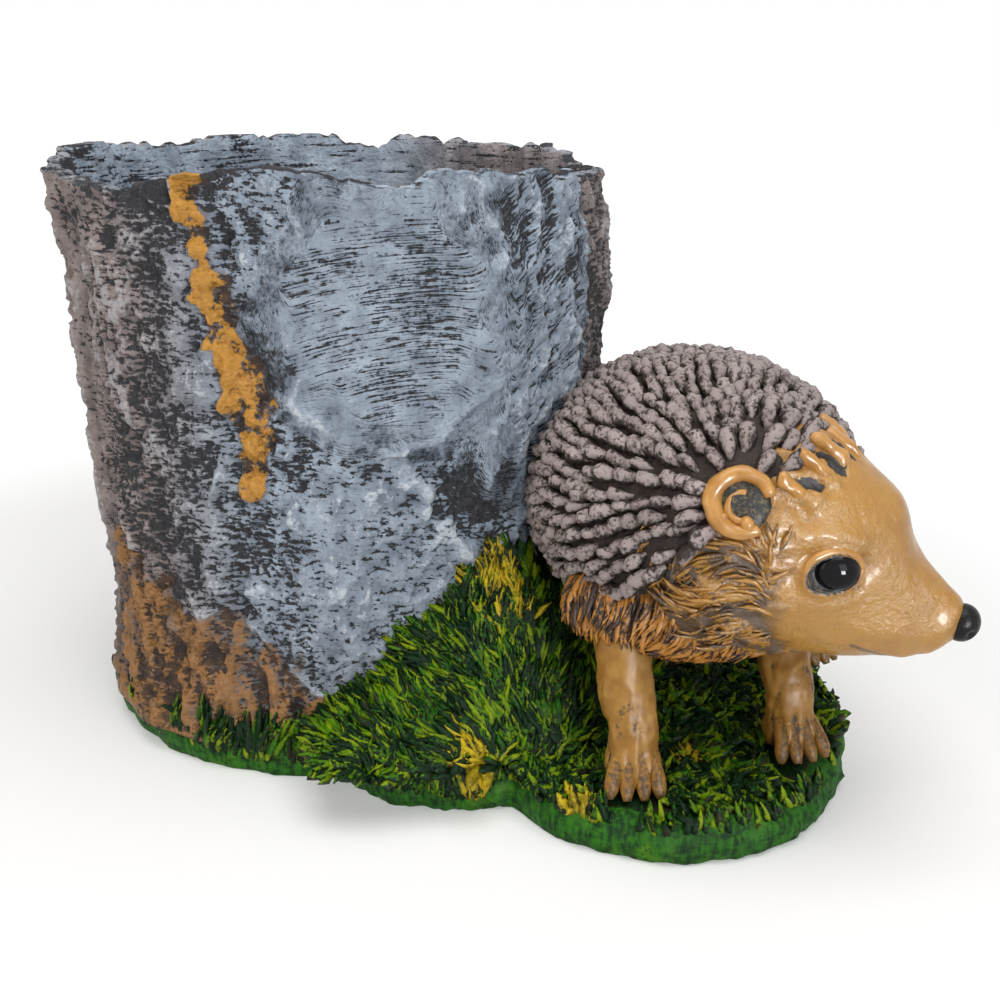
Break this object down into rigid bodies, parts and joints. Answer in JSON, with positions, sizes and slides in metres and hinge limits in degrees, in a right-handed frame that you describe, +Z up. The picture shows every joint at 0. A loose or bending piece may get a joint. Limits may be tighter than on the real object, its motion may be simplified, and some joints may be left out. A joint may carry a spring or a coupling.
{
  "type": "animal planter",
  "caption": "Cast planter shaped as a hollow tree stump on a grassy base, with a hedgehog standing against its side and looking over its shoulder.",
  "frame": {"origin": "on the resting face, on the axis of the drain hole under the stump pot", "axes": "+X from the stump towards the hedgehog, +Z up, the hedgehog's chest faces -Y"},
  "size_m": [0.3087, 0.213, 0.2147],
  "materials": {
    "bark": "cast and dry-brushed, light blue grey over charcoal, ochre strip and roots",
    "grass": "cast and painted dark green with yellow green tips",
    "quills": "cast and dry-brushed, warm grey over brown black",
    "fur": "cast and painted ochre with dark brown grooves, satin",
    "nose_black": "painted black, satin",
    "eye_glass": "glossy black glass",
    "wire": "drawn steel wire"
  },
  "bodies": {
    "root": {"stump_pot": "bark", "turf_base": "grass", "torso": "fur", "quill_coat": "quills", "quill_hood": "quills", "head": "fur", "crown_quills": "fur", "nose": "nose_black", "right_ear": "fur", "right_eye": "eye_glass", "left_eye": "eye_glass", "front_right_leg": "fur", "front_left_leg": "fur", "hind_left_leg": "fur", "hind_right_leg": "fur", "leg_wires": "wire", "neck_wire": "wire"}
  },
  "joints": []
}
